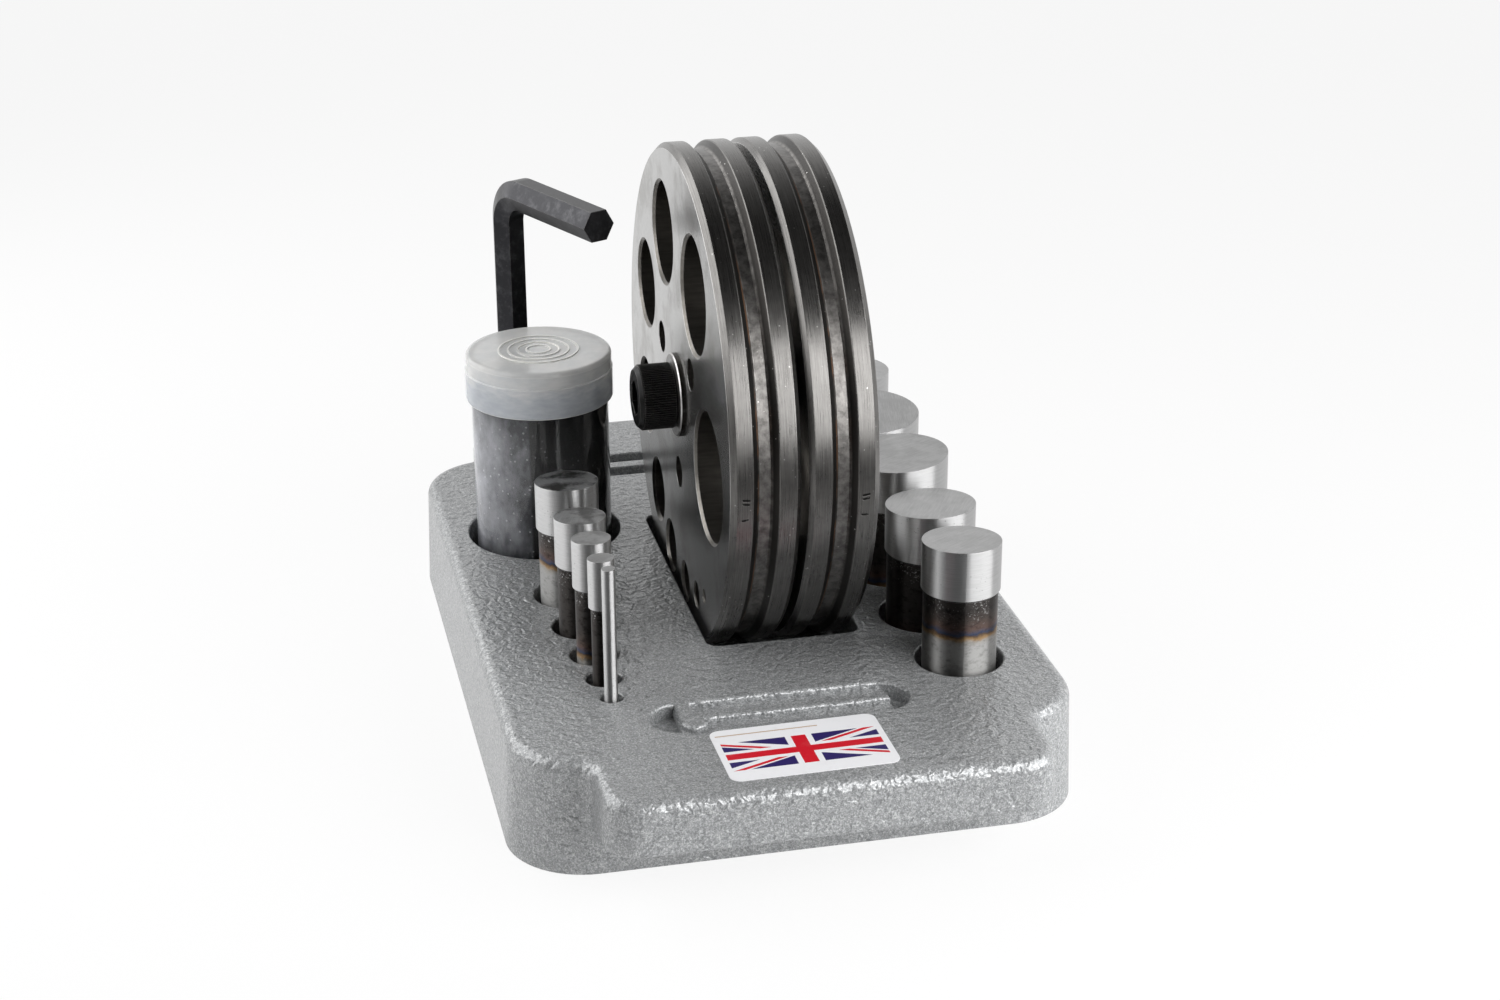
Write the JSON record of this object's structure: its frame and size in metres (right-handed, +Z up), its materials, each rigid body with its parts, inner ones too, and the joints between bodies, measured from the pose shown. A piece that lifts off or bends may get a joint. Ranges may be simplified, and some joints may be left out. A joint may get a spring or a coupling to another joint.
{
  "type": "jewelers disc cutter",
  "caption": "Bench disc cutter: clamped guide and die plates with graded round holes stand on edge in a painted cast base that stores the matching punches, lubricant jar and hex key.",
  "frame": {"origin": "middle of the base's underside, on the bench", "axes": "+X to the right along the base's front edge and along the plates' axis, +Y to the back of the base, +Z up"},
  "size_m": [0.136, 0.2298, 0.1406],
  "materials": {
    "hammer_paint": "glossy silver-grey hammer paint on a rough casting",
    "plate_steel": "satin dark steel, blackened on the rims, bright on worn edges",
    "pin_steel": "ground",
    "black_oxide": "black oxide, worn bright on edges",
    "washer_steel": "oxidised, bright front edge",
    "punch_steel": "ground cutting end, blackened and heat-tinted shank",
    "clear_plastic": "clear moulded plastic",
    "lubricant": "dark grey paste",
    "lid_plastic": "translucent white moulded plastic"
  },
  "bodies": {
    "base": {"base_casting": "hammer_paint"},
    "die_plate": {"die_plate": "plate_steel", "dowel_pin_1": "pin_steel", "dowel_pin_2": "pin_steel", "dowel_pin_3": "pin_steel"},
    "guide_plate": {"guide_plate": "plate_steel", "clamp_washer": "washer_steel"},
    "clamp_screw": {"clamp_screw": "black_oxide"},
    "punch_01": {"punch_01": "punch_steel"},
    "punch_02": {"punch_02": "punch_steel"},
    "punch_03": {"punch_03": "punch_steel"},
    "punch_04": {"punch_04": "punch_steel"},
    "punch_05": {"punch_05": "punch_steel"},
    "punch_06": {"punch_06": "punch_steel"},
    "punch_07": {"punch_07": "punch_steel"},
    "punch_08": {"punch_08": "punch_steel"},
    "punch_09": {"punch_09": "punch_steel"},
    "punch_10": {"punch_10": "punch_steel"},
    "hex_key": {"hex_key": "black_oxide"},
    "jar": {"jar_body": "clear_plastic", "jar_filling": "lubricant"},
    "jar_lid": {"jar_lid": "lid_plastic"}
  },
  "joints": [
    {"name": "die_set_lift", "type": "slide", "parent": "base", "child": "die_plate", "axis": [0, 0, 1], "range_m": [0, 0.03]},
    {"name": "guide_plate_slide", "type": "slide", "parent": "die_plate", "child": "guide_plate", "axis": [-1, 0, 0], "range_m": [-0.0018, 0.001]},
    {"name": "clamp_screw_turn", "type": "hinge", "parent": "guide_plate", "child": "clamp_screw", "pos_m": [-0.017, 0, 0.0781], "axis": [-1, 0, 0], "range_deg": [-435, 245]},
    {"name": "punch_01_lift", "type": "slide", "parent": "base", "child": "punch_01", "axis": [0, 0, 1], "range_m": [0, 0.022]},
    {"name": "punch_02_lift", "type": "slide", "parent": "base", "child": "punch_02", "axis": [0, 0, 1], "range_m": [0, 0.022]},
    {"name": "punch_03_lift", "type": "slide", "parent": "base", "child": "punch_03", "axis": [0, 0, 1], "range_m": [0, 0.022]},
    {"name": "punch_04_lift", "type": "slide", "parent": "base", "child": "punch_04", "axis": [0, 0, 1], "range_m": [0, 0.022]},
    {"name": "punch_05_lift", "type": "slide", "parent": "base", "child": "punch_05", "axis": [0, 0, 1], "range_m": [0, 0.022]},
    {"name": "punch_06_lift", "type": "slide", "parent": "base", "child": "punch_06", "axis": [0, 0, 1], "range_m": [0, 0.022]},
    {"name": "punch_07_lift", "type": "slide", "parent": "base", "child": "punch_07", "axis": [0, 0, 1], "range_m": [0, 0.022]},
    {"name": "punch_08_lift", "type": "slide", "parent": "base", "child": "punch_08", "axis": [0, 0, 1], "range_m": [0, 0.022]},
    {"name": "punch_09_lift", "type": "slide", "parent": "base", "child": "punch_09", "axis": [0, 0, 1], "range_m": [0, 0.022]},
    {"name": "punch_10_lift", "type": "slide", "parent": "base", "child": "punch_10", "axis": [0, 0, 1], "range_m": [0, 0.022]},
    {"name": "hex_key_lift", "type": "slide", "parent": "base", "child": "hex_key", "axis": [0, 0, 1], "range_m": [0, 0.014]},
    {"name": "jar_lift", "type": "slide", "parent": "base", "child": "jar", "axis": [0, 0, 1], "range_m": [0, 0.019]},
    {"name": "jar_lid_lift", "type": "slide", "parent": "jar", "child": "jar_lid", "axis": [0, 0, 1], "range_m": [0, 0.008]}
  ],
  "couplings": [
    {"joint": "clamp_screw_turn", "follows": "guide_plate_slide", "rad_per_m": 4188.8}
  ]
}
